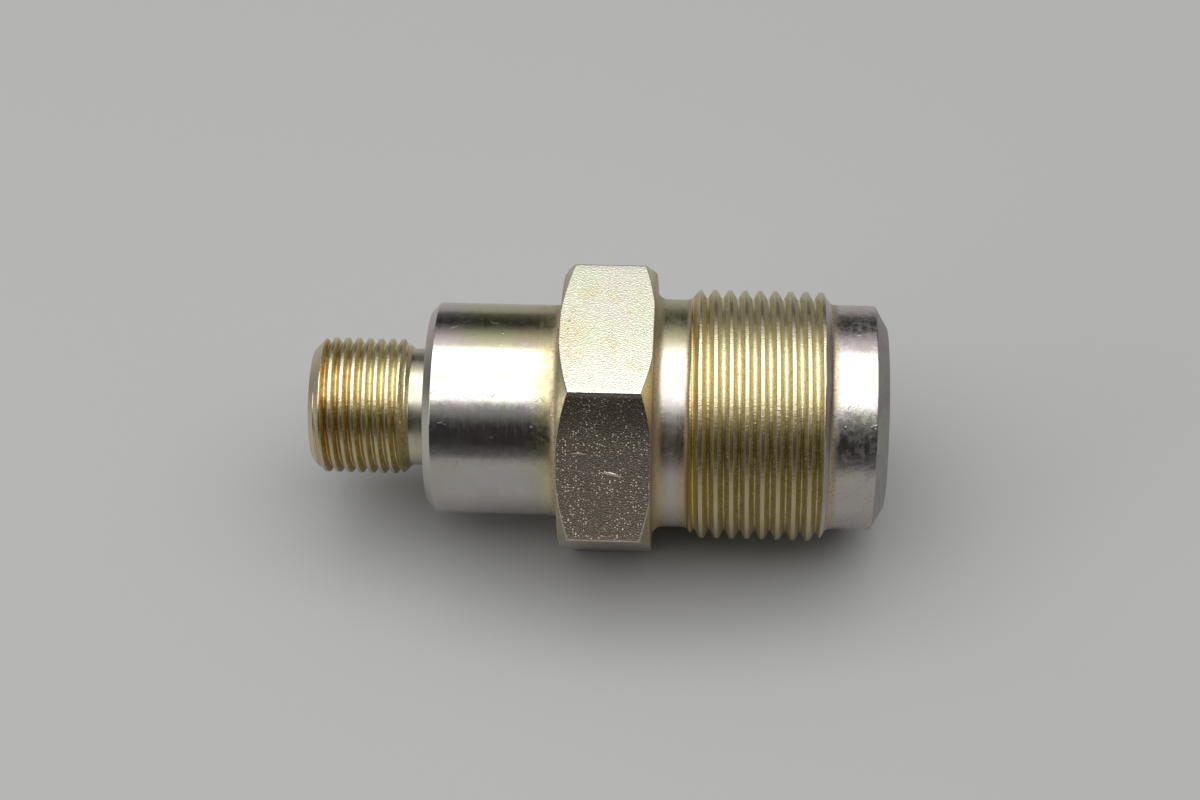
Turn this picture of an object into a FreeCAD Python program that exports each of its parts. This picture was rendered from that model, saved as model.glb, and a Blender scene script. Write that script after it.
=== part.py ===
import FreeCAD, Part
import math
import os
from FreeCAD import Vector
from FreeCAD import Base

# A straight hydraulic pipe connector, turned from one bar of hexagonal steel.
# From the small end to the large end: a fine male thread with an undercut behind it, a plain
# round shoulder, the hexagon for the spanner, a plain neck, a larger fine male thread and a
# plain nose. A stepped bore runs right through. The piece lies on one flat of its hexagon.
# Sizes are in millimetres. X runs along the axis towards the large thread, and the origin is
# on the axis at the middle of the hexagon. A crest place is where the crest passes the
# underside, measured from the small end or from the neck.

# small male thread, metric fine 18 x 1.5
small_thread_diameter = 18.0
small_thread_pitch = 1.5
small_thread_length = 13.2
small_thread_crest_place = 0.57
small_thread_rim_diameter = 15.0
small_thread_chamfer_angle = 45.0

# undercut that lets a nut seat against the shoulder
undercut_diameter = 15.5
undercut_width = 2.4

# plain round shoulder
shoulder_diameter = 28.0
shoulder_length = 17.6
shoulder_chamfer = 1.1

# hexagon for the spanner
hex_across_flats = 36.0
hex_width = 12.1
hex_chamfer_angle = 60.0
hex_small_side_rim_diameter = 36.2
hex_large_side_rim_diameter = 37.0

# plain neck behind the large thread
neck_diameter = 30.2
neck_length = 4.4
neck_rounding = 1.5

# large male thread, metric fine 33 x 2
large_thread_diameter = 33.0
large_thread_pitch = 2.0
large_thread_length = 18.6
large_thread_crest_place = 0.54
large_thread_neck_chamfer_angle = 45.0
large_thread_nose_chamfer_angle = 60.0

# plain nose that pilots the large end
nose_diameter = 29.7
nose_length = 7.4
nose_rim_diameter = 24.0
nose_chamfer_angle = 60.0

# stepped bore, with a coned seat in the small end
small_bore_diameter = 10.0
large_bore_diameter = 20.0
large_bore_depth = 48.0
seat_mouth_diameter = 13.0
seat_angle = 60.0

# thread form as shares of the pitch: straight flanks run from the flat crest to the root
thread_depth_share = 0.6134
thread_crest_share = 0.2
arcs_per_turn = 8

# stations along the axis, from the hexagon outwards
hex_small_face = -hex_width / 2
hex_large_face = hex_width / 2
shoulder_face = hex_small_face - shoulder_length
undercut_start = shoulder_face - undercut_width
small_end = undercut_start - small_thread_length
neck_end = hex_large_face + neck_length
nose_start = neck_end + large_thread_length
large_end = nose_start + nose_length
bore_step = large_end - large_bore_depth

origin = Vector(0, 0, 0)
axis = Vector(1, 0, 0)


def cone_run(rise, angle):
    # axial length of a cone that rises this much at this angle to the axis
    return rise / math.tan(math.radians(angle))


def rounding(before, corner, after, radius):
    # round corner of an outline, drawn as three arcs that follow one another
    back = (before - corner).normalize()
    ahead = (after - corner).normalize()
    half_angle = back.getAngle(ahead) / 2
    reach = radius / math.tan(half_angle)
    centre = corner + (back + ahead).normalize() * (radius / math.sin(half_angle))
    spoke = corner + back * reach - centre
    side = corner + ahead * reach - centre
    turn = math.degrees(spoke.getAngle(side))
    if spoke.cross(side).z < 0:
        turn = -turn
    rim = []
    for count in range(7):
        spin = FreeCAD.Rotation(Vector(0, 0, 1), turn * count / 6)
        rim.append(centre + spin.multVec(spoke))
    arcs = []
    for count in (0, 2, 4):
        arc = Part.Arc(rim[count], rim[count + 1], rim[count + 2]).toShape()
        arcs.append(arc.toNurbs().Edges[0])
    return rim[0], arcs, rim[-1]


def turned(corners):
    # solid turned about the axis; a corner is its place, its radius and, if any, its rounding
    points = [Vector(corner[0], corner[1], 0) for corner in corners]
    start = Vector(points[0].x, 0, 0)
    end = Vector(points[-1].x, 0, 0)
    edges = []
    pen = start
    for index, corner in enumerate(corners):
        if len(corner) > 2:
            enter, arcs, leave = rounding(*points[index - 1:index + 2], corner[2])
            edges.append(Part.makeLine(pen, enter))
            edges.extend(arcs)
            pen = leave
        else:
            edges.append(Part.makeLine(pen, points[index]))
            pen = points[index]
    edges.append(Part.makeLine(pen, end))
    edges.append(Part.makeLine(end, start))
    return Part.Face(Part.Wire(edges)).revolve(origin, axis, 360)


def turned_blank():
    # the whole outline; both threads stand proud here, and their cutters bring them to size
    rim = small_thread_rim_diameter / 2
    undercut = undercut_diameter / 2
    shoulder = shoulder_diameter / 2
    neck = neck_diameter / 2
    nose = nose_diameter / 2
    nose_rim = nose_rim_diameter / 2
    small_proud = small_thread_diameter / 2 + small_thread_pitch / 4
    large_proud = large_thread_diameter / 2 + large_thread_pitch / 4
    return turned([
        (small_end, rim),
        (small_end + cone_run(small_proud - rim, small_thread_chamfer_angle), small_proud),
        (undercut_start - cone_run(small_proud - undercut, small_thread_chamfer_angle), small_proud),
        (undercut_start, undercut),
        (shoulder_face, undercut),
        (shoulder_face, shoulder - shoulder_chamfer),
        (shoulder_face + shoulder_chamfer, shoulder),
        (0, shoulder),
        (0, neck + 1.1 * neck_rounding),
        (hex_large_face, neck + 1.1 * neck_rounding),
        (hex_large_face, neck, neck_rounding),
        (neck_end, neck),
        (neck_end + cone_run(large_proud - neck, large_thread_neck_chamfer_angle), large_proud),
        (nose_start - cone_run(large_proud - nose, large_thread_nose_chamfer_angle), large_proud),
        (nose_start, nose),
        (large_end - cone_run(nose - nose_rim, nose_chamfer_angle), nose),
        (large_end, nose_rim),
    ])


def hexagon():
    # the bar's own six sides, with the corners turned off to a cone at both faces
    corner_radius = hex_across_flats / math.sqrt(3)
    corners = []
    for count in range(7):
        angle = math.radians(60 * count)
        across = corner_radius * math.cos(angle)
        up = corner_radius * math.sin(angle)
        corners.append(Vector(hex_small_face, across, up))
    bar = Part.Face(Part.makePolygon(corners)).extrude(Vector(hex_width, 0, 0))
    proud = corner_radius + 1
    small_rim = hex_small_side_rim_diameter / 2
    large_rim = hex_large_side_rim_diameter / 2
    cones = turned([
        (hex_small_face, small_rim),
        (hex_small_face + cone_run(proud - small_rim, hex_chamfer_angle), proud),
        (hex_large_face - cone_run(proud - large_rim, hex_chamfer_angle), proud),
        (hex_large_face, large_rim),
    ])
    return bar.common(cones)


def helix(radius, pitch, place, turn):
    # stretch of a right-hand helix about Z over one arc; place is its height at angle zero
    cylinder = Part.Cylinder()
    cylinder.Radius = radius
    ends = []
    for angle in (turn, turn + 2 * math.pi / arcs_per_turn):
        ends.append(Base.Vector2d(angle, place + pitch * angle / (2 * math.pi)))
    return Part.Geom2d.Line2dSegment(*ends).toShape(cylinder)


def crest_strip(radius, pitch, half_width, turn):
    # flat of the crest over one arc: a face of the cylinder between two helices
    cylinder = Part.Cylinder()
    cylinder.Radius = radius
    corners = []
    for angle, side in ((0, -1), (1, -1), (1, 1), (0, 1)):
        around = turn + angle * 2 * math.pi / arcs_per_turn
        corners.append(Base.Vector2d(around, pitch * around / (2 * math.pi) + side * half_width))
    edges = []
    for index in range(4):
        side = Part.Geom2d.Line2dSegment(corners[index - 1], corners[index])
        edges.append(side.toShape(cylinder))
    strip = Part.Face(cylinder, Part.Wire(edges))
    strip.validate()
    return strip


def threaded_rod(diameter, pitch, start, turns):
    # rod along X with a right-hand thread; its crest passes the underside at start
    top = diameter / 2
    crest = thread_crest_share * pitch / 2
    bottom = top - thread_depth_share * pitch
    arc = 2 * math.pi / arcs_per_turn
    faces = []
    for count in range(turns * arcs_per_turn):
        turn = count * arc
        root = helix(bottom, pitch, pitch / 2, turn)
        faces.append(crest_strip(top, pitch, crest, turn))
        faces.append(Part.makeRuledSurface(helix(top, pitch, crest, turn), root))
        faces.append(Part.makeRuledSurface(root, helix(top, pitch, pitch - crest, turn)))
    # each end is closed by a ramp of one turn and by the tooth's own section
    for end in (0, turns):
        for count in range(arcs_per_turn):
            turn = (end * arcs_per_turn + count) * arc
            low = Vector(0, 0, pitch * turn / (2 * math.pi) - crest)
            middle = Part.makeLine(low, low + Vector(0, 0, pitch / arcs_per_turn))
            faces.append(Part.makeRuledSurface(middle, helix(top, pitch, -crest, turn)))
        section = [
            Vector(0, 0, -crest),
            Vector(top, 0, -crest),
            Vector(top, 0, crest),
            Vector(bottom, 0, pitch / 2),
            Vector(top, 0, pitch - crest),
            Vector(0, 0, pitch - crest),
            Vector(0, 0, -crest),
        ]
        tooth = Part.Face(Part.makePolygon(section))
        tooth.translate(Vector(0, 0, end * pitch))
        faces.append(tooth)
    skin = Part.Shell(faces)
    skin.sewShape(0.0001)
    rod = Part.Solid(skin)
    rod.rotate(origin, Vector(0, 1, 0), 90)
    rod.translate(Vector(start, 0, 0))
    return rod


def thread_cutter(diameter, pitch, low, high, crest_place):
    # what a die takes away between two places: all that lies outside the threaded rod
    turns = math.ceil((high - low) / pitch) + 4
    rod = threaded_rod(diameter, pitch, crest_place - 3 * pitch, turns)
    swept = Part.makeCylinder(diameter / 2 + pitch, high - low, Vector(low, 0, 0), axis)
    return swept.cut(rod)


def stepped_bore():
    small = small_bore_diameter / 2
    large = large_bore_diameter / 2
    mouth = seat_mouth_diameter / 2
    return turned([
        (small_end, mouth),
        (small_end + cone_run(mouth - small, seat_angle / 2), small),
        (bore_step, small),
        (bore_step, large),
        (large_end, large),
    ])


small_cutter = thread_cutter(
    small_thread_diameter,
    small_thread_pitch,
    small_end - small_thread_pitch / 2,
    undercut_start + undercut_width / 2,
    small_end + small_thread_crest_place,
)
large_cutter = thread_cutter(
    large_thread_diameter,
    large_thread_pitch,
    neck_end - neck_length / 4,
    nose_start + nose_length / 4,
    neck_end + large_thread_crest_place,
)
blank = turned_blank().fuse(hexagon()).removeSplitter()
connector = blank.cut([small_cutter, large_cutter, stepped_bore()])
solids = connector.Solids
os.makedirs("parts", exist_ok=True)
solids[0].exportStep("parts/connector_body.step")
box = solids[0].BoundBox
print(f"connector_body: {len(solids)} solid, {box.XLength:.2f} x {box.YLength:.2f} x {box.ZLength:.2f} mm")
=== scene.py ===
import math
import bmesh
import bpy
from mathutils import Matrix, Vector


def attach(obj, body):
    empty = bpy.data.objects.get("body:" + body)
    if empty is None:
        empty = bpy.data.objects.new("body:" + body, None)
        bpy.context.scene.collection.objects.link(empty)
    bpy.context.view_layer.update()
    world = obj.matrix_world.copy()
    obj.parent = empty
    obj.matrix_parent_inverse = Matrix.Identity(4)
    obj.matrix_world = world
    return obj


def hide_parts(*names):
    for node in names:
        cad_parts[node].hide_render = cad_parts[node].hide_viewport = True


# A turned pipe connector lying on a table. Sizes below are in millimetres and become metres
# when the meshes are made. X runs along the axis, from the small thread to the large one.
# Y runs across it, away from the camera, and Z up.
mm = 0.001
around = 180  # points on every ring, a multiple of the hexagon's six sides
weldGap = 0.002 * mm  # points closer than this become one
sharpAngle = 38  # degrees; steeper edges are shaded crisp
turnedIndex, threadIndex, flatIndex = range(3)  # order of the three finishes on the mesh

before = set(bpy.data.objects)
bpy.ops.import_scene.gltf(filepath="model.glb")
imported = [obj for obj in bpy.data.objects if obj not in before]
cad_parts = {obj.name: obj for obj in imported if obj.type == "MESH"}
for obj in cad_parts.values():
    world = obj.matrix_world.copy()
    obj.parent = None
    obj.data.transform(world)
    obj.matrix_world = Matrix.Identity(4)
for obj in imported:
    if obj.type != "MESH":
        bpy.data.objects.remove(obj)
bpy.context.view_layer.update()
print("frame loaded")


# short ways to add and feed nodes, for Geometry Nodes and materials alike
def addNode(tree, kind, **settings):
    node = tree.nodes.new(kind)
    for name, value in settings.items():
        setattr(node, name, value)
    return node


def feed(tree, socket, value):
    # a socket takes either a link or a plain value
    if isinstance(value, bpy.types.NodeSocket):
        tree.links.new(value, socket)
    else:
        socket.default_value = value


def calc(tree, operation, *values, clamp=False):
    node = addNode(tree, "ShaderNodeMath", operation=operation, use_clamp=clamp)
    for socket, value in zip(node.inputs, values):
        feed(tree, socket, value)
    return node.outputs[0]


# sizes of the two threads; a crest place is where the crest passes the underside
smallThread = {
    "outside": 9.0,  # radius
    "pitch": 1.5,
    "depth": 0.54,  # share of the pitch
    "crownRadius": 1.1,  # the crest is slightly domed
    "crownHalfWidth": 0.175,
    "cornerRadius": 0.06,
    "crestAtUnderside": -38.68,
    "lowEnd": (-39.2, 7.55, 1.0),  # place, radius and rise of the cone that ends the thread
    "highEnd": (-26.138, 7.838, 1.0),
}
largeThread = {
    "outside": 16.5,
    "pitch": 2.0,
    "depth": 0.56,
    "crownRadius": 1.5,
    "crownHalfWidth": 0.215,
    "cornerRadius": 0.08,
    "crestAtUnderside": 10.99,
    "lowEnd": (10.684, 15.334, 1.0),
    "highEnd": (28.819, 15.25, 1.7321),
}
# what both threads share: the flanks' angle, and how a tooth's outline is stepped
toothForm = {
    "flankAngle": 60,
    "crownSteps": (0.5, 1),
    "cornerSteps": (0.33, 0.67, 1),
    "flankSteps": (0.33, 0.67, 1),
    "rootSteps": (40, 20, 0),  # degrees
}


def toothOutline(thread):
    # one pitch of the section, from the middle of a root over the crest: place and radius
    pitch, depth = thread["pitch"], thread["depth"] * thread["pitch"]
    crown, corner = thread["crownRadius"], thread["cornerRadius"]
    lean = math.asin(thread["crownHalfWidth"] / crown)
    flank = math.radians(toothForm["flankAngle"])
    side = []  # from the middle of the crest down to the root: place and drop
    for share in toothForm["crownSteps"]:
        side.append((crown * math.sin(lean * share), crown * (1 - math.cos(lean * share))))
    middle = (side[-1][0] - corner * math.sin(lean), side[-1][1] + corner * math.cos(lean))
    for share in toothForm["cornerSteps"]:
        swing = lean + (flank - lean) * share
        side.append((middle[0] + corner * math.sin(swing), middle[1] - corner * math.cos(swing)))
    # radius of the root, so that both flanks run into it
    root = math.sqrt(3) * (pitch / 2 - side[-1][0]) - (depth - side[-1][1])
    foot = (pitch / 2 - root * math.sin(flank), depth - root / 2)
    head = side[-1]
    for share in toothForm["flankSteps"]:
        side.append((head[0] + (foot[0] - head[0]) * share, head[1] + (foot[1] - head[1]) * share))
    for turn in toothForm["rootSteps"]:
        swing = math.radians(turn)
        side.append((pitch / 2 - root * math.sin(swing), depth - root * (1 - math.cos(swing))))
    rising = [(-place, drop) for place, drop in reversed(side)]
    return [(place, thread["outside"] - drop) for place, drop in rising + [(0, 0)] + side[:-1]]


def threadTree():
    # winds a tooth's section round the axis; both ends are cut by a cone and closed to a ring
    tree = bpy.data.node_groups.new("cutThread", "GeometryNodeTree")
    face = tree.interface
    face.new_socket("Tooth", in_out="INPUT", socket_type="NodeSocketGeometry")
    for name in ("Points per pitch", "Points around", "Turns"):
        face.new_socket(name, in_out="INPUT", socket_type="NodeSocketInt")
    for name in ("Pitch", "First crest"):
        face.new_socket(name, in_out="INPUT", socket_type="NodeSocketFloat")
    for name in ("Low end", "Low radius", "Low rise", "High end", "High radius", "High rise"):
        face.new_socket(name, in_out="INPUT", socket_type="NodeSocketFloat")
    face.new_socket("Finish", in_out="INPUT", socket_type="NodeSocketMaterial")
    face.new_socket("Thread", in_out="OUTPUT", socket_type="NodeSocketGeometry")
    given = addNode(tree, "NodeGroupInput").outputs
    perPitch = given["Points per pitch"]
    rows = calc(tree, "ADD", given["Points around"], 1)
    columns = calc(tree, "ADD", calc(tree, "MULTIPLY", perPitch, given["Turns"]), 1)
    grid = addNode(tree, "GeometryNodeMeshGrid")
    feed(tree, grid.inputs["Vertices X"], columns)
    feed(tree, grid.inputs["Vertices Y"], rows)
    # each point's column along the axis and its row round it, then its turn and its step in a pitch
    index = addNode(tree, "GeometryNodeInputIndex").outputs[0]
    column = calc(tree, "FLOOR", calc(tree, "DIVIDE", calc(tree, "ADD", index, 0.5), rows))
    row = calc(tree, "SUBTRACT", index, calc(tree, "MULTIPLY", column, rows))
    turn = calc(tree, "FLOOR", calc(tree, "DIVIDE", calc(tree, "ADD", column, 0.5), perPitch))
    step = calc(tree, "SUBTRACT", column, calc(tree, "MULTIPLY", turn, perPitch))
    sample = addNode(tree, "GeometryNodeSampleIndex", data_type="FLOAT_VECTOR")
    feed(tree, sample.inputs["Geometry"], given["Tooth"])
    feed(tree, sample.inputs["Value"], addNode(tree, "GeometryNodeInputPosition").outputs[0])
    feed(tree, sample.inputs["Index"], step)
    tooth = addNode(tree, "ShaderNodeSeparateXYZ")
    feed(tree, tooth.inputs[0], sample.outputs[0])
    share = calc(tree, "DIVIDE", row, given["Points around"])
    wound = calc(tree, "MULTIPLY", calc(tree, "ADD", turn, share), given["Pitch"])
    place = calc(tree, "ADD", calc(tree, "ADD", wound, tooth.outputs[0]), given["First crest"])
    place = calc(tree, "MINIMUM", calc(tree, "MAXIMUM", place, given["Low end"]), given["High end"])
    fromLow = calc(tree, "SUBTRACT", place, given["Low end"])
    lowCone = calc(tree, "MULTIPLY_ADD", fromLow, given["Low rise"], given["Low radius"])
    fromHigh = calc(tree, "SUBTRACT", given["High end"], place)
    highCone = calc(tree, "MULTIPLY_ADD", fromHigh, given["High rise"], given["High radius"])
    radius = calc(tree, "MINIMUM", calc(tree, "MINIMUM", tooth.outputs[1], lowCone), highCone)
    angle = calc(tree, "MULTIPLY", share, 2 * math.pi)
    point = addNode(tree, "ShaderNodeCombineXYZ")
    feed(tree, point.inputs[0], place)
    feed(tree, point.inputs[1], calc(tree, "MULTIPLY", radius, calc(tree, "COSINE", angle)))
    feed(tree, point.inputs[2], calc(tree, "MULTIPLY", radius, calc(tree, "SINE", angle)))
    placed = addNode(tree, "GeometryNodeSetPosition")
    feed(tree, placed.inputs["Geometry"], grid.outputs["Mesh"])
    feed(tree, placed.inputs["Position"], point.outputs[0])
    merged = addNode(tree, "GeometryNodeMergeByDistance")
    feed(tree, merged.inputs["Geometry"], placed.outputs[0])
    feed(tree, merged.inputs["Distance"], weldGap)
    real = addNode(tree, "GeometryNodeRealizeInstances")
    feed(tree, real.inputs[0], merged.outputs[0])
    painted = addNode(tree, "GeometryNodeSetMaterial")
    feed(tree, painted.inputs["Geometry"], real.outputs[0])
    feed(tree, painted.inputs["Material"], given["Finish"])
    out = addNode(tree, "NodeGroupOutput")
    feed(tree, out.inputs[0], painted.outputs[0])
    return tree


def cutThread(tree, thread, finish):
    # the thread as a plain mesh
    tooth = toothOutline(thread)
    outline = bpy.data.meshes.new("toothOutline")
    links = [(spot, spot + 1) for spot in range(len(tooth) - 1)]
    outline.from_pydata([(place * mm, radius * mm, 0) for place, radius in tooth], links, [])
    holder = bpy.data.objects.new("threadHolder", outline)
    bpy.context.scene.collection.objects.link(holder)
    pitch = thread["pitch"]
    low, high = thread["lowEnd"], thread["highEnd"]
    crest = thread["crestAtUnderside"] + pitch / 4  # a quarter turn on, at the side where rows start
    while crest - pitch / 2 > low[0] - pitch:
        crest -= pitch
    turns = math.ceil((high[0] - crest) / pitch) + 1
    modifier = holder.modifiers.new("cutThread", "NODES")
    modifier.node_group = tree
    values = {
        "Points per pitch": len(tooth),
        "Points around": around,
        "Turns": turns,
        "Pitch": pitch * mm,
        "First crest": crest * mm,
        "Low end": low[0] * mm,
        "Low radius": low[1] * mm,
        "Low rise": low[2],
        "High end": high[0] * mm,
        "High radius": high[1] * mm,
        "High rise": high[2],
        "Finish": finish,
    }
    for item in tree.interface.items_tree:
        if item.name in values:
            modifier[item.identifier] = values[item.name]
    bpy.context.view_layer.update()
    evaluated = holder.evaluated_get(bpy.context.evaluated_depsgraph_get())
    mesh = bpy.data.meshes.new_from_object(evaluated)
    bpy.data.objects.remove(holder)
    return mesh


turnedBody = {
    # each corner: place, radius and rounding; the first run goes through the bore
    "endsAndBore": [
        (-39.2, 7.55, 0),
        (-39.25, 7.45, 0),
        (-39.25, 6.5, 0.15),
        (-36.652, 5.0, 0.1),
        (-11.55, 5.0, 0.15),
        (-11.55, 10.0, 0.3),
        (35.95, 10.0, 0.1),
        (36.45, 10.5, 0.1),
        (36.45, 12.0, 0.2),
        (34.805, 14.85, 0.25),
        (29.05, 14.85, 0.8),
        (28.819, 15.25, 0),
    ],
    "neck": [
        (10.684, 15.334, 0),
        (10.45, 15.1, 0.8),
        (6.05, 15.1, 1.5),
        (6.05, 17.6, 0),
    ],
    "shoulder": [
        (-6.05, 17.6, 0),
        (-6.05, 14.0, 1.0),
        (-22.55, 14.0, 0.2),
        (-23.65, 12.9, 0.15),
        (-23.65, 7.75, 0.4),
        (-26.05, 7.75, 0.3),
        (-26.138, 7.838, 0),
    ],
}


# how a turned outline is stepped
outlineForm = {
    "hold": 0.12,  # on a long flat, a point this far from a rounding keeps its shading clean
    "largeRadius": 0.5,  # roundings over this get the fine step
    "fineStep": 12,  # degrees
    "coarseStep": 22,
    "smallestStep": 0.003,
}


def roundedRun(corners):
    # the outline's points: an arc at each rounded corner, and a point close to it on long flats
    hold = outlineForm["hold"]
    run = [Vector(corners[0][:2])]
    for before, corner, after in zip(corners, corners[1:], corners[2:]):
        here = Vector(corner[:2])
        back = (Vector(before[:2]) - here).normalized()
        ahead = (Vector(after[:2]) - here).normalized()
        if corner[2] == 0:
            run.append(here)
            continue
        half = back.angle(ahead) / 2
        reach = corner[2] / math.tan(half)
        middle = here + (back + ahead).normalized() * (corner[2] / math.sin(half))
        first, last = here + back * reach, here + ahead * reach
        if (run[-1] - first).length > 4 * hold:
            run.append(first + back * hold)
        sweep = (first - middle).angle_signed(last - middle)
        stride = outlineForm["fineStep" if corner[2] > outlineForm["largeRadius"] else "coarseStep"]
        steps = max(2, math.ceil(abs(math.degrees(sweep)) / stride))
        for step in range(steps + 1):
            spoke = first - middle
            turn = -sweep * step / steps
            run.append(middle + Vector((
                spoke.x * math.cos(turn) - spoke.y * math.sin(turn),
                spoke.x * math.sin(turn) + spoke.y * math.cos(turn),
            )))
        if (Vector(after[:2]) - last).length > 4 * hold:
            run.append(last + ahead * hold)
    run.append(Vector(corners[-1][:2]))
    kept = run[:1]
    for previous, point in zip(run, run[1:]):
        if (point - previous).length > outlineForm["smallestStep"]:
            kept.append(point)
    return kept


def ringPoint(place, radius, angle):
    return Vector((place, radius * math.cos(angle), radius * math.sin(angle))) * mm


def turnRun(bm, corners):
    # a run of the outline turned about the axis
    rings = []
    for place, radius in roundedRun(corners):
        angles = [2 * math.pi * spot / around for spot in range(around)]
        rings.append([bm.verts.new(ringPoint(place, radius, angle)) for angle in angles])
    for ring, following in zip(rings, rings[1:]):
        for spot in range(around):
            ahead = (spot + 1) % around
            bm.faces.new((ring[spot], ring[ahead], following[ahead], following[spot]))


hexagon = {
    "acrossFlats": 36.0,
    "halfWidth": 6.05,
    "smallSideRim": 18.1,
    "largeSideRim": 18.5,
    "chamferRise": 1.7321,
    "edgeSoftness": 0.14,
    "endEdge": 0.1,
    "endBow": (0.3, 0.7, 0.1),  # a point between both ends of that edge, bowed outwards
    "holdRing": 17.6,  # ring on both end faces where the turned runs take over
    "besideCorners": (0.1, 0.22, 0.4),  # degrees to each side of a corner, for its soft edge
    # points beside the edge where the chamfer meets the flat, then on the flat's middle
    "besideChamfer": (0.9, 0.5, 0.3, 0.12, 0.04, 0, -0.04, -0.12, -0.3, -0.8),
    "onFlat": (-2.0, 0.0, 2.0),
}


def softLower(first, second, softness):
    # the lower of two heights, with the corner between them rounded off
    overlap = max(softness - abs(first - second), 0) / softness
    return min(first, second) - overlap * overlap * softness / 4


def makeHexagon(bm):
    half = hexagon["halfWidth"]
    soft = hexagon["edgeSoftness"]
    edge = hexagon["endEdge"]
    slope = hexagon["chamferRise"]
    degrees = [spot * 360 / around for spot in range(around)]
    for corner in range(0, 360, 60):
        for offset in hexagon["besideCorners"]:
            degrees += [(corner + offset) % 360, (corner - offset) % 360]
    degrees.sort()

    def flatRadius(degree):
        # distance from the axis to the two nearest flats
        spread = abs((degree + 30) % 60 - 30)
        nearer = hexagon["acrossFlats"] / 2 / math.cos(math.radians(30 - spread))
        farther = hexagon["acrossFlats"] / 2 / math.cos(math.radians(30 + spread))
        return softLower(nearer, farther, soft)

    def skin(place, degree):
        # the same with both chamfers turned off it
        radius = flatRadius(degree)
        lowCone = hexagon["smallSideRim"] + (place + half) * slope
        highCone = hexagon["largeSideRim"] + (half - place) * slope
        return softLower(softLower(radius, lowCone, soft), highCone, soft)

    columns = []
    for degree in degrees:
        angle = math.radians(degree)
        across = flatRadius(degree)
        halves = []
        for side, rim in ((-1, hexagon["smallSideRim"]), (1, hexagon["largeSideRim"])):
            inner = half - edge
            start = half - max(across - rim, 0) / slope  # where the chamfer meets the flat
            outer = skin(side * half, degree)
            mouth = skin(side * inner, degree)
            outerShare, mouthShare, bow = hexagon["endBow"]
            between = (outer - edge) * outerShare + mouth * mouthShare + bow * edge
            points = [
                (side * half, outer - edge),
                (side * (half - outerShare * edge), between),
                (side * inner, mouth),
            ]
            for offset in hexagon["besideChamfer"]:
                place = min(start + offset, inner)
                points.append((side * place, skin(side * place, degree)))
            halves.append(points)
        middle = [(place, skin(place, degree)) for place in hexagon["onFlat"]]
        run = halves[0] + middle + halves[1][::-1]
        columns.append([bm.verts.new(ringPoint(place, radius, angle)) for place, radius in run])
    last = len(columns[0]) - 1
    flatFrom = 3 + hexagon["besideChamfer"].index(0)  # a column's point where the flat begins
    for spot, column in enumerate(columns):
        following = columns[(spot + 1) % len(columns)]
        for step in range(last):
            face = bm.faces.new((column[step], column[step + 1], following[step + 1], following[step]))
            isFlat = flatFrom <= step < last - flatFrom
            face.material_index = flatIndex if isFlat else turnedIndex
    # both end faces, from the outline in to a ring
    for step, place in ((0, -half), (last, half)):
        ring = [
            bm.verts.new(ringPoint(place, hexagon["holdRing"], 2 * math.pi * spot / around))
            for spot in range(around)
        ]
        stride = 360 / around
        for spot in range(around):
            low, high = spot * stride, (spot + 1) * stride
            rim = [
                columns[number][step] for number, degree in enumerate(degrees)
                if low - 1e-6 <= degree <= high + 1e-6 or (high == 360 and degree == 0)
            ]
            if high == 360:
                rim = rim[1:] + rim[:1]
            bm.faces.new([ring[(spot + 1) % around], ring[spot]] + rim)


def newFinish(name):
    material = bpy.data.materials.new(name)
    material.use_nodes = True
    return material, material.node_tree, material.node_tree.nodes["Principled BSDF"]


def places(tree):
    # millimetres on the object: all three, then along the axis, across, up and out from the axis
    whole = addNode(tree, "ShaderNodeVectorMath", operation="SCALE")
    feed(tree, whole.inputs[0], addNode(tree, "ShaderNodeTexCoord").outputs["Object"])
    whole.inputs["Scale"].default_value = 1 / mm
    parts = addNode(tree, "ShaderNodeSeparateXYZ")
    feed(tree, parts.inputs[0], whole.outputs[0])
    along, across, up = parts.outputs
    squares = calc(tree, "MULTIPLY_ADD", up, up, calc(tree, "MULTIPLY", across, across))
    return whole.outputs[0], along, across, up, calc(tree, "SQRT", squares)


def product(tree, first, *others):
    for other in others:
        first = calc(tree, "MULTIPLY", first, other)
    return first


def summed(tree, base, *terms):
    # the base, and each value times its strength on top
    for value, strength in terms:
        base = calc(tree, "MULTIPLY_ADD", value, strength, base)
    return base


def stretched(tree, vector, factors):
    node = addNode(tree, "ShaderNodeVectorMath", operation="MULTIPLY")
    feed(tree, node.inputs[0], vector)
    node.inputs[1].default_value = factors
    return node.outputs[0]


def grainOf(tree, vector, scale, detail=2.0, roughness=0.5):
    node = addNode(tree, "ShaderNodeTexNoise")
    feed(tree, node.inputs["Vector"], vector)
    for name, value in (("Scale", scale), ("Detail", detail), ("Roughness", roughness)):
        node.inputs[name].default_value = value
    return node.outputs["Fac"]


def rise(tree, value, low, high, bottom=0.0, top=1.0):
    # a smooth ramp: bottom up to the low value, top from the high one
    node = addNode(tree, "ShaderNodeMapRange", interpolation_type="SMOOTHSTEP")
    feed(tree, node.inputs["Value"], value)
    for name, number in (("From Min", low), ("From Max", high), ("To Min", bottom), ("To Max", top)):
        node.inputs[name].default_value = number
    return node.outputs[0]


def near(tree, value, middle, reach):
    # 1 at a place, falling to 0 at its reach
    gap = calc(tree, "ABSOLUTE", calc(tree, "SUBTRACT", value, middle))
    return rise(tree, gap, 0.0, reach, 1.0, 0.0)


def bands(tree, along, stations):
    # the strongest of several bands along the axis: station, reach and, if any, strength
    strongest = 0.0
    for station, reach, *strength in stations:
        band = product(tree, near(tree, along, station, reach), *strength)
        strongest = calc(tree, "MAXIMUM", band, strongest)
    return strongest


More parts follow.
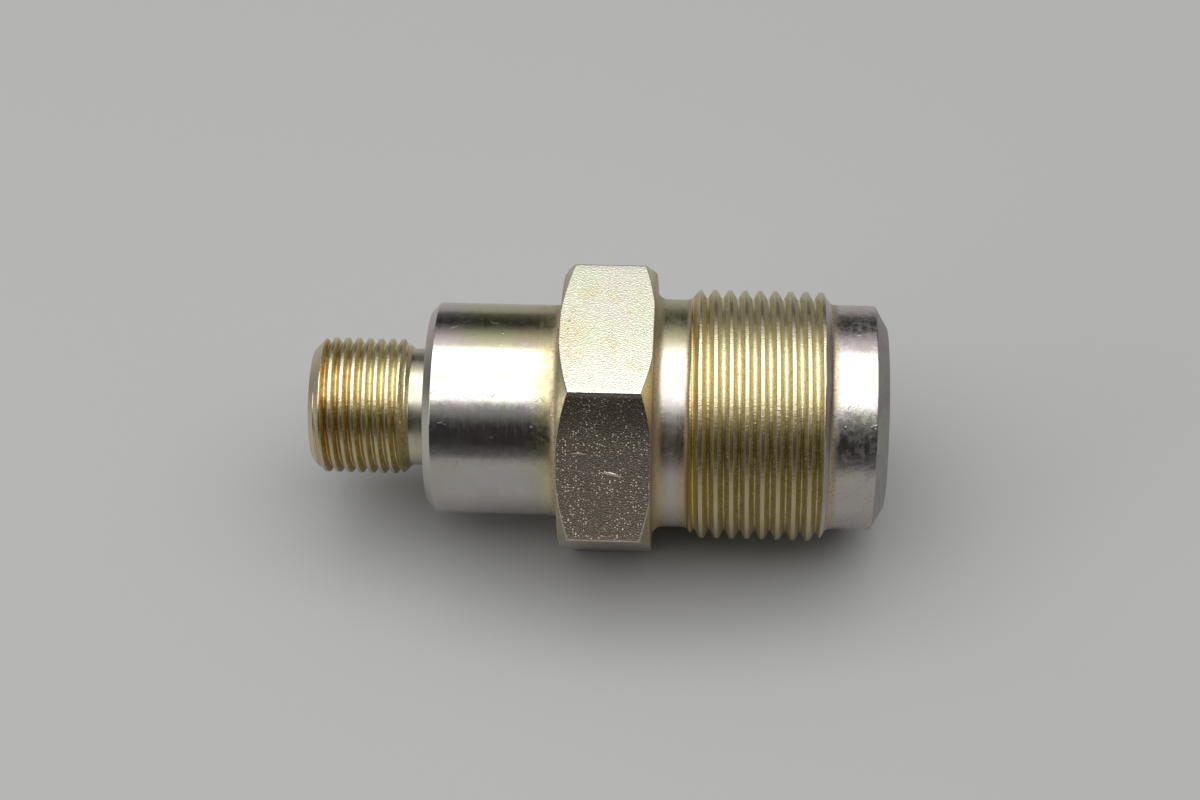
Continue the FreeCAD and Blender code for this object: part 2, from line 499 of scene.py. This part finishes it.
def pebbles(tree, vector, size, share):
    # scattered round bumps; share is how many of the cells carry a high one
    node = addNode(tree, "ShaderNodeTexVoronoi")
    feed(tree, node.inputs["Vector"], vector)
    node.inputs["Scale"].default_value = 1.0
    height = rise(tree, node.outputs["Distance"], 0.0, size, 1.0, 0.0)
    pick = addNode(tree, "ShaderNodeSeparateColor")
    feed(tree, pick.inputs[0], node.outputs["Color"])
    return product(tree, height, rise(tree, pick.outputs[0], 1.0 - share, 1.0, 0.2, 1.0))


scratchForm = {
    "wander": (3.0, 3.0, 3.0),  # how far the lines bend, in millimetres
    "patchScale": 1.7,
    "patches": (0.7, 0.76),
}


def scratches(tree, vector, scale, width, share):
    # sparse thin lines; width is in millimetres
    wander = addNode(tree, "ShaderNodeTexNoise")
    feed(tree, wander.inputs["Vector"], vector)
    wander.inputs["Scale"].default_value = scale
    bent = addNode(tree, "ShaderNodeVectorMath", operation="MULTIPLY_ADD")
    feed(tree, bent.inputs[0], wander.outputs["Color"])
    bent.inputs[1].default_value = scratchForm["wander"]
    feed(tree, bent.inputs[2], vector)
    cells = addNode(tree, "ShaderNodeTexVoronoi", feature="DISTANCE_TO_EDGE")
    feed(tree, cells.inputs["Vector"], bent.outputs[0])
    cells.inputs["Scale"].default_value = scale
    line = rise(tree, cells.outputs[0], 0.0, width * scale, 1.0, 0.0)
    low, high = scratchForm["patches"]
    patches = grainOf(tree, vector, scale * scratchForm["patchScale"])
    return product(tree, line, rise(tree, patches, low - share, high - share))


def blend(tree, share, first, second):
    node = addNode(tree, "ShaderNodeMix", data_type="RGBA")
    feed(tree, node.inputs["Factor"], share)
    for socket, colour in ((node.inputs[6], first), (node.inputs[7], second)):
        feed(tree, socket, colour if isinstance(colour, bpy.types.NodeSocket) else (*colour, 1))
    return node.outputs[2]


def relief(tree, shader, height):
    # height in millimetres
    node = addNode(tree, "ShaderNodeBump")
    node.inputs["Distance"].default_value = mm
    feed(tree, node.inputs["Height"], height)
    feed(tree, shader.inputs["Normal"], node.outputs[0])


# In the three finishes below, noise is given as scale, detail and roughness. A ramp is given as
# where it starts and ends and, where these aren't 0 and 1, its share at the start and at the end.
# Along, across, up and radius are in millimetres.
turned = {
    "rings": (1.0, 3.0, 0.6),  # turning marks
    "ringStretch": (9.0, 0.25, 0.25),
    "cloud": (1.0, 5.0, 0.65),
    "cloudStretch": (0.34, 0.26, 0.26),
    "speck": (3.6, 3.0, 0.6),
    "mottle": (1.1, 4.0, 0.6),
    "blotch": (0.9, 4.0, 0.7),
    # limits that keep the stains out of the bore
    "smallEndAlong": (-20.0, -19.0, 1.0, 0.0),
    "smallEndRadius": (6.8, 7.4),
    "outsideRadius": (10.5, 11.5),
    "silver": (0.60, 0.58, 0.54),
    "silverCloud": (0.38, 0.52),
    "lilac": (0.60, 0.535, 0.555),
    "olive": (0.58, 0.575, 0.475),
    "oliveCloud": (0.48, 0.64),
    "straw": (0.63, 0.59, 0.47),
    "strawRings": (0.5, 0.75, 0.0, 0.35),
    # past the top, on the far side: painted sheen, yellow in the middle and lilac at the ends, for the
    # tint the plating shows at a grazing angle
    "farSideAcross": (-3.0, 1.5),
    "farSideCloud": (0.32, 0.5, 0.5, 1.0),
    "grazingYellow": (0.555, 0.53, 0.325),
    "middleStart": (-21.0, -16.0),
    "middleEnd": (12.0, 29.0, 1.0, 0.0),
    "farLilac": (0.60, 0.525, 0.51),
    "farAmber": (0.57, 0.48, 0.31),  # painted sheen too, on the far side of the shoulder, next to the hexagon
    "farAmberAt": (-9.0, 5.0),
    "rosy": (0.60, 0.50, 0.48),  # painted reflection tint: a faint rosy band low on the near side, where the dark reflection falls
    "rosyReflectionAt": (-11.2, 2.4),
    "lowShade": (0.48, 0.445, 0.42),  # painted shade: darker low down, all round
    "lowShadeUp": (2.0, 8.0, 1.0, 0.0),
    "lowShadeCloud": (0.3, 0.6, 0.6, 1.0),
    # golden tint beside the hexagon and in the undercut: station, reach and strength
    "gold": (0.63, 0.59, 0.32),
    "goldAt": ((-6.4, 2.5, 1.0), (5.6, 1.8, 1.0), (-25.7, 1.3, 0.6), (-24.5, 1.2, 0.45)),
    "goldCloud": (0.3, 0.6, 0.5, 1.0),
    "stain": (0.50, 0.46, 0.25),  # mottled, on the shoulder next to the hexagon, faint low down
    "stainAt": (-6.4, 4.4),
    "stainMottle": (0.3, 0.65, 0.45, 1.2),
    "stainUp": (0.0, 9.0, 0.3, 1.0),
    # narrow burnt bands where the outline turns a corner
    "burnt": (0.52, 0.43, 0.30),
    "burntAt": ((-6.4, 1.1), (6.3, 1.3), (10.8, 0.9), (29.2, 1.0)),
    "burntSpeck": (0.3, 0.6, 0.5, 1.3),
    "burntDots": (0.20, 0.12, 0.06),
    "dotSpeck": (0.58, 0.66),
    # granular amber along both sides of the neck, strongest below the highlight
    "amber": (0.50, 0.40, 0.26),
    "amberAt": ((6.8, 2.2), (10.5, 2.0)),
    "amberUp": (9.5, 13.5, 1.0, 0.15),
    "amberSpeck": (0.35, 0.6, 0.7, 1.5),
    "shadedDull": (0.34, 0.33, 0.32),  # painted shade: the chamfer of the nose, darker as well as rougher
    "dullAlong": (34.7, 34.9),
    "dullRings": (0.35, 0.7, 1.0, 0.7),
    "dullCloud": (0.4, 0.65, 1.0, 0.8),
    "blotchAlong": (29.0, 30.0),  # the nose is mottled
    "blotchPatches": (0.42, 0.62),
    "ringRoughness": (0.3, 0.7, 0.12, 0.2),
    "mottleRough": (0.4, 0.65),
    # what each adds to the roughness
    "mottleRoughness": 0.06,
    "stainRoughness": 0.12,
    "blotchRoughness": 0.13,
    "softRoughness": 0.14,
    "softAt": ((8.5, 3.4), (-24.9, 2.0)),  # the neck and the undercut are less bright
    "dullRoughness": 0.3,
    "burntRoughness": 0.25,
    # heights of the relief
    "ringRelief": 0.0012,
    "burntRelief": 0.05,
    "amberRelief": 0.035,
    "blotchRelief": 0.008,
    "dullRingRelief": 0.006,
    "nickRelief": 0.045,
    "mottleRelief": 0.009,
    "scratchRelief": 0.016,
    "nicks": (0.1, 0.5),  # size and share
    "nickStretch": (0.45, 0.45, 0.45),
    "scratches": (0.35, 0.12, 0.1),  # scale, width and share
}
turnedFinish, tree, shader = newFinish("turnedSteel")
spot, along, across, up, radius = places(tree)
smallEnd = product(
    tree, rise(tree, along, *turned["smallEndAlong"]), rise(tree, radius, *turned["smallEndRadius"])
)
isOutside = calc(tree, "MAXIMUM", rise(tree, radius, *turned["outsideRadius"]), smallEnd)
ringSpot = addNode(tree, "ShaderNodeCombineXYZ")  # rings run round cylinders and end faces alike
for socket, value in zip(ringSpot.inputs, (calc(tree, "ADD", along, radius), across, up)):
    feed(tree, socket, value)
rings = grainOf(tree, stretched(tree, ringSpot.outputs[0], turned["ringStretch"]), *turned["rings"])
cloud = grainOf(tree, stretched(tree, spot, turned["cloudStretch"]), *turned["cloud"])
speck = grainOf(tree, spot, *turned["speck"])
mottle = grainOf(tree, spot, *turned["mottle"])
blotch = grainOf(tree, spot, *turned["blotch"])
# the plating's own tints, then the far side's painted sheen, the near side's painted reflection tint
# and the painted shade low down
tone = blend(tree, rise(tree, cloud, *turned["silverCloud"]), turned["lilac"], turned["silver"])
tone = blend(tree, rise(tree, cloud, *turned["oliveCloud"]), tone, turned["olive"])
tone = blend(tree, rise(tree, rings, *turned["strawRings"]), tone, turned["straw"])
isMiddle = product(
    tree, rise(tree, along, *turned["middleStart"]), rise(tree, along, *turned["middleEnd"])
)
# painted sheen: the far side gets a yellow and lilac tone
farSheenTone = blend(tree, isMiddle, turned["farLilac"], turned["grazingYellow"])
farSheenTone = blend(tree, near(tree, along, *turned["farAmberAt"]), farSheenTone, turned["farAmber"])
farSheen = product(
    tree, rise(tree, across, *turned["farSideAcross"]), rise(tree, cloud, *turned["farSideCloud"])
)
tone = blend(tree, farSheen, tone, farSheenTone)
# painted reflection tint on the near side
rosy = product(tree, near(tree, across, *turned["rosyReflectionAt"]), isMiddle)
tone = blend(tree, rosy, tone, turned["rosy"])
# painted shade: darker low down
lowShade = product(
    tree, rise(tree, up, *turned["lowShadeUp"]), rise(tree, cloud, *turned["lowShadeCloud"])
)
tone = blend(tree, lowShade, tone, turned["lowShade"])
# gold, stains, burnt bands and amber
gilt = product(tree, bands(tree, along, turned["goldAt"]), isOutside)
tone = blend(tree, product(tree, gilt, rise(tree, cloud, *turned["goldCloud"])), tone, turned["gold"])
stain = product(
    tree, near(tree, along, *turned["stainAt"]), rise(tree, mottle, *turned["stainMottle"]),
    isOutside, rise(tree, up, *turned["stainUp"]),
)
tone = blend(tree, stain, tone, turned["stain"])
burnt = product(tree, bands(tree, along, turned["burntAt"]), isOutside)
burntShare = calc(tree, "MULTIPLY", burnt, rise(tree, speck, *turned["burntSpeck"]), clamp=True)
tone = blend(tree, burntShare, tone, turned["burnt"])
dots = product(tree, burnt, rise(tree, speck, *turned["dotSpeck"]))
tone = blend(tree, dots, tone, turned["burntDots"])
amber = product(
    tree, bands(tree, along, turned["amberAt"]), rise(tree, up, *turned["amberUp"]), isOutside
)
amberShare = calc(tree, "MULTIPLY", amber, rise(tree, speck, *turned["amberSpeck"]), clamp=True)
tone = blend(tree, amberShare, tone, turned["amber"])
# painted shade: the nose's chamfer gets a darker colour; it is also rougher
isDull = rise(tree, along, *turned["dullAlong"])
shadedDullShare = product(
    tree, rise(tree, rings, *turned["dullRings"]), rise(tree, cloud, *turned["dullCloud"])
)
tone = blend(tree, product(tree, isDull, shadedDullShare), tone, turned["shadedDull"])
feed(tree, shader.inputs["Base Color"], tone)
# gloss and relief
blotches = product(
    tree, rise(tree, along, *turned["blotchAlong"]), rise(tree, blotch, *turned["blotchPatches"]),
    isOutside,
)
softer = [near(tree, along, *station) for station in turned["softAt"]]
rough = summed(
    tree, rise(tree, rings, *turned["ringRoughness"]),
    (rise(tree, mottle, *turned["mottleRough"]), turned["mottleRoughness"]),
    (stain, turned["stainRoughness"]),
    (blotches, turned["blotchRoughness"]),
    *((place, turned["softRoughness"]) for place in softer),
    (isDull, turned["dullRoughness"]),
    (burnt, turned["burntRoughness"]),
)
feed(tree, shader.inputs["Roughness"], rough)
shader.inputs["Metallic"].default_value = 1.0
nicks = pebbles(tree, stretched(tree, spot, turned["nickStretch"]), *turned["nicks"])
bumps = summed(
    tree, product(tree, rings, turned["ringRelief"]),
    (product(tree, speck, burnt), turned["burntRelief"]),
    (product(tree, speck, amber), turned["amberRelief"]),
    (product(tree, speck, blotches), turned["blotchRelief"]),
    (product(tree, rings, isDull), turned["dullRingRelief"]),
    (nicks, turned["nickRelief"]),
    (mottle, turned["mottleRelief"]),
    (scratches(tree, spot, *turned["scratches"]), turned["scratchRelief"]),
)
relief(tree, shader, bumps)

# ramps named for a drop start and end between 0, on the crest, and 1, in the root
threaded = {
    "grain": (1.0, 3.0, 0.6),
    "grainStretch": (2.0, 3.4, 3.4),
    "speck": (2.8, 3.0, 0.6),
    "cloud": (0.45, 2.0, 0.5),
    "largeAlong": (-5.0, 5.0),  # past here it is the large thread
    "crest": (0.66, 0.585, 0.40),
    "smallCrest": (0.71, 0.67, 0.51),
    "flank": (0.76, 0.71, 0.51),
    "flankGrain": (0.55, 0.48, 0.26),
    "smallFlank": (0.78, 0.70, 0.40),
    "smallFlankGrain": (0.58, 0.49, 0.22),
    "paleGrain": (0.4, 0.62),
    "flankDrop": (0.03, 0.18),
    "root": (0.80, 0.76, 0.60),
    "smallRoot": (0.78, 0.72, 0.50),
    "rootDrop": (0.8, 0.97),
    "rust": (0.62, 0.41, 0.13),
    "rustGrain": (0.40, 0.24, 0.06),
    "rustEnd": -29.5,
    "rustDrop": (0.15, 0.7),
    "rustCloud": (0.3, 0.6, 0.45, 1.0),
    "amber": (0.64, 0.47, 0.17),  # the first flanks of the large thread, next to the neck
    "amberAlong": (10.9, 15.0, 0.85, 0.0),
    "amberDrop": (0.05, 0.4),
    "amberGrain": (0.35, 0.6, 1.0, 0.6),
    "dots": (0.42, 0.32, 0.13),
    "dotSpeck": (0.57, 0.68),
    "dotDrop": (0.1, 0.3, 0.1, 0.6),
    # painted shade: the thread is a darker, deeper gold on the near side; its ramp is in shares of the
    # outside radius
    "shadedFlank": (0.62, 0.52, 0.26),
    "shadedGrain": (0.34, 0.27, 0.09),
    "shadedCrest": (0.50, 0.42, 0.24),
    "nearShadeAcross": (-0.85, -0.35, 0.85, 0.0),
    "nearShadeCloud": (0.3, 0.6, 0.75, 1.0),
    "nearShadePale": (0.42, 0.58),
    "cone": (0.58, 0.54, 0.54),  # the plain cone towards the nose
    "coneAlong": (28.05, 28.15),
    "clean": (-38.15, -37.85),  # the plain cone at the small end stays silvery up to here
    "roughness": (0.27, 0.40, 0.24),  # crest, flank and root
    "roughFlankDrop": (0.03, 0.2),
    "roughRootDrop": (0.75, 0.95),
    "grainRelief": 0.05,
    "pebbleRelief": 0.11,
    "pebbles": (0.5, 0.7),  # size and share
    "pebbleStretch": (2.6, 3.0, 3.0),
    "pebbleDrop": (0.1, 0.3),
    "rootPebbles": (0.6, 0.85, 1.0, 0.15),
}
threadFinish, tree, shader = newFinish("goldenThread")
spot, along, across, up, radius = places(tree)
isLarge = rise(tree, along, *threaded["largeAlong"])
smallSizes, largeSizes = (
    (thread["outside"], thread["depth"] * thread["pitch"]) for thread in (smallThread, largeThread)
)
outside, depth = (
    calc(tree, "MULTIPLY_ADD", isLarge, large - small, small)
    for small, large in zip(smallSizes, largeSizes)
)
threadZone = rise(tree, along, *threaded["clean"])
drop = calc(tree, "DIVIDE", calc(tree, "SUBTRACT", outside, radius), depth)
drop = product(tree, drop, threadZone)
grain = grainOf(tree, stretched(tree, spot, threaded["grainStretch"]), *threaded["grain"])
speck = grainOf(tree, spot, *threaded["speck"])
cloud = grainOf(tree, spot, *threaded["cloud"])
isPale = rise(tree, grain, *threaded["paleGrain"])
flank = blend(tree, isLarge, threaded["smallFlank"], threaded["flank"])
flankGrain = blend(tree, isLarge, threaded["smallFlankGrain"], threaded["flankGrain"])
flank = blend(tree, isPale, flankGrain, flank)
crest = blend(tree, isLarge, threaded["smallCrest"], threaded["crest"])
crest = blend(tree, threadZone, threaded["crest"], crest)
root = blend(tree, isLarge, threaded["smallRoot"], threaded["root"])
# painted shade: darker gold on the near side, for flanks, roots and crests
nearShade = rise(tree, calc(tree, "DIVIDE", across, outside), *threaded["nearShadeAcross"])
nearShade = product(tree, nearShade, rise(tree, cloud, *threaded["nearShadeCloud"]))
nearShadePale = rise(tree, grain, *threaded["nearShadePale"])
nearShadeTone = blend(tree, nearShadePale, threaded["shadedGrain"], threaded["shadedFlank"])
flank = blend(tree, nearShade, flank, nearShadeTone)
root = blend(tree, nearShade, root, nearShadeTone)
crest = blend(tree, product(tree, nearShade, threadZone), crest, threaded["shadedCrest"])
tone = blend(tree, rise(tree, drop, *threaded["flankDrop"]), crest, flank)
tone = blend(tree, rise(tree, drop, *threaded["rootDrop"]), tone, root)
# rust towards the small end, amber next to the neck, and dark dots
rust = product(
    tree, rise(tree, along, threaded["clean"][0], threaded["rustEnd"], 1.0, 0.0),
    rise(tree, drop, *threaded["rustDrop"]), rise(tree, cloud, *threaded["rustCloud"]),
)
tone = blend(tree, rust, tone, blend(tree, isPale, threaded["rustGrain"], threaded["rust"]))
amber = product(
    tree, rise(tree, along, *threaded["amberAlong"]), rise(tree, drop, *threaded["amberDrop"]),
    isLarge, rise(tree, grain, *threaded["amberGrain"]),
)
tone = blend(tree, amber, tone, threaded["amber"])
dots = product(
    tree, rise(tree, speck, *threaded["dotSpeck"]), rise(tree, drop, *threaded["dotDrop"])
)
tone = blend(tree, dots, tone, threaded["dots"])
tone = blend(tree, rise(tree, along, *threaded["coneAlong"]), tone, threaded["cone"])
feed(tree, shader.inputs["Base Color"], tone)
crestRough, flankRough, rootRough = threaded["roughness"]
rough = rise(tree, drop, *threaded["roughFlankDrop"], crestRough, flankRough)
smoother = rise(tree, drop, *threaded["roughRootDrop"], 0.0, flankRough - rootRough)
feed(tree, shader.inputs["Roughness"], calc(tree, "SUBTRACT", rough, smoother))
shader.inputs["Metallic"].default_value = 1.0
stones = pebbles(tree, stretched(tree, spot, threaded["pebbleStretch"]), *threaded["pebbles"])
onFlank = product(
    tree, rise(tree, drop, *threaded["pebbleDrop"]), rise(tree, drop, *threaded["rootPebbles"])
)
bumps = summed(
    tree, product(tree, grain, threaded["grainRelief"]),
    (product(tree, stones, onFlank), threaded["pebbleRelief"]),
)
relief(tree, shader, bumps)

barFlat = {
    "topUp": (17.2, 17.9),  # above here it is the top one of the six
    "grain": (1.0, 1.0, 0.4),
    "grainStretch": (4.2, 6.4, 6.4),
    "cloud": (0.28, 3.0, 0.55),
    "tint": (0.13, 2.0, 0.5),
    "speck": (1.7, 4.0, 0.65),
    "pale": (0.69, 0.67, 0.53),
    "paleTint": (0.42, 0.5),
    "rosy": (0.69, 0.655, 0.56),
    "green": (0.655, 0.68, 0.52),
    "greenTint": (0.5, 0.6),
    "nearHighlight": (0.76, 0.745, 0.65),  # painted highlight: the near part of the top one is lighter
    "nearHighlightAcross": (-9.0, 1.0, 0.75, 0.0),
    "shadedSide": (0.28, 0.21, 0.165),  # painted shade: the sides below the top one are darker, paler away from their upper edge
    "shadedSideLow": (0.67, 0.555, 0.46),
    "shadedSideUp": (9.5, 16.5, 1.0, 0.0),
    "shadedSideShare": 0.85,
    "straw": (0.66, 0.60, 0.40),
    "strawCloud": (0.52, 0.7, 0.0, 0.6),
    "strawOnSides": 0.3,  # how much of it the sides get
    "strawPatch": (-4.4, -2.0, 3.2, 7.0),  # middle along and across, and its reach both ways
    "strawSpeck": (0.3, 0.6),
    "spots": (0.40, 0.28, 0.12),
    "spotSpeck": (0.6, 0.7),
    "spotStraw": (0.2, 0.6),
    "roughness": 0.2,
    "grainRelief": (0.016, 0.026),  # on the sides, and on the top one
    "pebbles": (0.45, 0.6),  # size and share
    "pebbleStretch": (3.0, 5.2, 5.2),
    "pebbleRelief": 0.064,
    "topSmoothing": 0.8,  # the share of them that the top one lacks
    "clusterCloud": (0.35, 0.6, 0.55, 1.1),
    "clusterUp": (4.0, 16.0, 0.05, -0.05),
    # scratches on the near side: both ends, the height at the hexagon's middle, fall, width and relief
    "scratches": ((-0.8, 3.0, 8.5, 0.18, 0.2, 0.1), (-4.4, -1.6, 10.6, 0.04, 0.14, 0.05)),
}
flatFinish, tree, shader = newFinish("barFlats")
spot, along, across, up, radius = places(tree)
isTop = rise(tree, up, *barFlat["topUp"])
grain = grainOf(tree, stretched(tree, spot, barFlat["grainStretch"]), *barFlat["grain"])
cloud = grainOf(tree, spot, *barFlat["cloud"])
tint = grainOf(tree, spot, *barFlat["tint"])
speck = grainOf(tree, spot, *barFlat["speck"])
tone = blend(tree, rise(tree, tint, *barFlat["paleTint"]), barFlat["rosy"], barFlat["pale"])
tone = blend(tree, rise(tree, tint, *barFlat["greenTint"]), tone, barFlat["green"])
# painted shade: the sides below the top one are darker
shadedSide = blend(tree, rise(tree, up, *barFlat["shadedSideUp"]), barFlat["shadedSide"], barFlat["shadedSideLow"])
shadedSideShare = calc(
    tree, "SUBTRACT", barFlat["shadedSideShare"], product(tree, isTop, barFlat["shadedSideShare"])
)
tone = blend(tree, shadedSideShare, tone, shadedSide)
# painted highlight: the near part of the top one is lighter
nearHighlight = product(tree, rise(tree, across, *barFlat["nearHighlightAcross"]), isTop)
tone = blend(tree, nearHighlight, tone, barFlat["nearHighlight"])
middleX, middleY, reachX, reachY = barFlat["strawPatch"]
patch = product(
    tree, near(tree, along, middleX, reachX), near(tree, across, middleY, reachY), isTop
)
straw = product(
    tree, rise(tree, cloud, *barFlat["strawCloud"]),
    rise(tree, isTop, 0.0, 1.0, barFlat["strawOnSides"], 1.0),
)
patch = product(tree, patch, rise(tree, speck, *barFlat["strawSpeck"]))
straw = calc(tree, "MAXIMUM", straw, patch)
tone = blend(tree, straw, tone, barFlat["straw"])
spots = product(
    tree, rise(tree, speck, *barFlat["spotSpeck"]), rise(tree, straw, *barFlat["spotStraw"])
)
tone = blend(tree, spots, tone, barFlat["spots"])
feed(tree, shader.inputs["Base Color"], tone)
shader.inputs["Roughness"].default_value = barFlat["roughness"]
shader.inputs["Metallic"].default_value = 1.0
stones = pebbles(tree, stretched(tree, spot, barFlat["pebbleStretch"]), *barFlat["pebbles"])
onSides = calc(tree, "SUBTRACT", 1.0, product(tree, isTop, barFlat["topSmoothing"]))
clusters = calc(
    tree, "ADD", rise(tree, cloud, *barFlat["clusterCloud"]), rise(tree, up, *barFlat["clusterUp"])
)
stones = product(tree, stones, onSides, clusters)
bumps = product(tree, grain, rise(tree, isTop, 0.0, 1.0, *barFlat["grainRelief"]))
bumps = summed(tree, bumps, (stones, barFlat["pebbleRelief"]))
isNear = rise(tree, across, 0.0, 1.0, 1.0, 0.0)
for left, right, height, fall, width, depth in barFlat["scratches"]:
    line = near(tree, calc(tree, "MULTIPLY_ADD", along, fall, up), height, width)
    ends = near(tree, along, (left + right) / 2, (right - left) / 2)
    bumps = summed(tree, bumps, (product(tree, line, ends, isNear), depth))
relief(tree, shader, bumps)
print("finishes made")

# the connector as one closed mesh
windTree = threadTree()
connectorMesh = bpy.data.meshes.new("connector")
bm = bmesh.new()
for run in turnedBody.values():
    turnRun(bm, run)
makeHexagon(bm)
for thread in (smallThread, largeThread):
    wound = cutThread(windTree, thread, threadFinish)
    print("thread wound:", len(wound.vertices), "points")
    before = len(bm.faces)
    bm.from_mesh(wound)
    bm.faces.ensure_lookup_table()
    for face in bm.faces[before:]:
        face.material_index = threadIndex
    bpy.data.meshes.remove(wound)
bmesh.ops.remove_doubles(bm, verts=bm.verts, dist=weldGap)
bmesh.ops.recalc_face_normals(bm, faces=bm.faces)
for face in bm.faces:
    face.smooth = True
openEdges = sum(1 for edge in bm.edges if len(edge.link_faces) != 2)
volume = round(bm.calc_volume() / mm ** 3)
print("connector:", len(bm.faces), "faces,", openEdges, "open edges,", volume, "mm3")
bm.to_mesh(connectorMesh)
bm.free()
connectorMesh.set_sharp_from_angle(angle=math.radians(sharpAngle))
for finish in (turnedFinish, threadFinish, flatFinish):
    connectorMesh.materials.append(finish)
connector = bpy.data.objects.new("connector", connectorMesh)
bpy.context.scene.collection.objects.link(connector)
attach(connector, "root")
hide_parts("connector_body")

# floor, lights and camera
studio = {
    "floorTone": (0.39, 0.39, 0.385, 1),
    "floorRoughness": 0.7,
    "floorHeight": -18.0,
    "floorReach": 3000.0,
    # The sky adds up ramps over its directions, which run from -1 to 1: the direction, where the
    # ramp starts and ends, and its brightness at both. Each glow is two ramps multiplied.
    "horizon": ("up", 0.06, 0.26, 0.10, 0.03),
    "farGlow": (("up", 0.36, 0.92, 0.0, 1.05), ("back", 0.0, 0.35, 0.0, 1.0)),
    "nearGlow": (("up", 0.56, 0.86, 0.0, 0.34), ("back", -0.3, 0.0, 1.0, 0.0)),
    "sideGlow": (("sideways", 0.5, 0.8, 0.0, 0.4), ("up", 0.35, 0.55, 0.0, 1.0)),
    "leftGlow": (("right", -0.6, -0.35, 0.35, 0.0), ("back", 0.4, 0.7, 0.0, 1.0)),
    # place, aim, width, depth and brightness
    "overheadBox": ((-60, 10, 600), (-60, 10, 0), 1400, 705, 1.9),
    "sideBox": ((-760, -290, 390), (0, 0, 0), 520, 420, 2.0),
}
floorMesh = bpy.data.meshes.new("floor")
reach, level = studio["floorReach"] * mm, studio["floorHeight"] * mm
corners = [
    (-reach, -reach, level), (reach, -reach, level), (reach, reach, level), (-reach, reach, level),
]
floorMesh.from_pydata(corners, [], [(0, 1, 2, 3)])
floor = bpy.data.objects.new("floor", floorMesh)
bpy.context.scene.collection.objects.link(floor)
floorFinish, tree, shader = newFinish("paleFloor")
shader.inputs["Base Color"].default_value = studio["floorTone"]
shader.inputs["Roughness"].default_value = studio["floorRoughness"]
floorMesh.materials.append(floorFinish)

world = bpy.data.worlds.new("studioWorld")
bpy.context.scene.world = world
world.use_nodes = True
sky = world.node_tree
skyParts = addNode(sky, "ShaderNodeSeparateXYZ")
feed(sky, skyParts.inputs[0], addNode(sky, "ShaderNodeTexCoord").outputs["Generated"])
towards = dict(zip(("right", "back", "up"), skyParts.outputs))
towards["sideways"] = calc(sky, "ABSOLUTE", towards["right"])


def skyRamp(direction, *ramp):
    return rise(sky, towards[direction], *ramp)


def glow(name):
    return product(sky, *(skyRamp(*ramp) for ramp in studio[name]))


low = calc(sky, "ADD", skyRamp(*studio["horizon"]), glow("sideGlow"))
low = calc(sky, "ADD", low, glow("leftGlow"))
high = calc(sky, "ADD", glow("farGlow"), glow("nearGlow"))
feed(sky, sky.nodes["Background"].inputs["Color"], calc(sky, "ADD", low, high))


def addBox(name, place, aim, width, depth, brightness):
    lamp = bpy.data.lights.new(name, "AREA")
    lamp.shape = "ELLIPSE"
    lamp.size = width * mm
    lamp.size_y = depth * mm
    # the energy that gives an ellipse this brightness: pi times its area
    lamp.energy = brightness * math.pi * math.pi / 4 * lamp.size * lamp.size_y
    box = bpy.data.objects.new(name, lamp)
    box.location = Vector(place) * mm
    box.rotation_euler = (Vector(place) - Vector(aim)).to_track_quat("Z", "Y").to_euler()
    bpy.context.scene.collection.objects.link(box)


for name in ("overheadBox", "sideBox"):
    addBox(name, *studio[name])

shot = {
    "place": (14.305, -207.511, 281.101),
    "turn": (36.7377, 1.1958, 2.6657),  # degrees
    "lens": 78.744,
    "sensor": 36,
    "clipStart": 10.0,
}
lensData = bpy.data.cameras.new("camera")
lensData.lens = shot["lens"]
lensData.sensor_width = shot["sensor"]
lensData.clip_start = shot["clipStart"] * mm
camera = bpy.data.objects.new("camera", lensData)
camera.location = Vector(shot["place"]) * mm
camera.rotation_euler = [math.radians(angle) for angle in shot["turn"]]
bpy.context.scene.collection.objects.link(camera)
bpy.context.scene.camera = camera
bpy.context.scene.view_settings.view_transform = "Standard"
print("studio set")
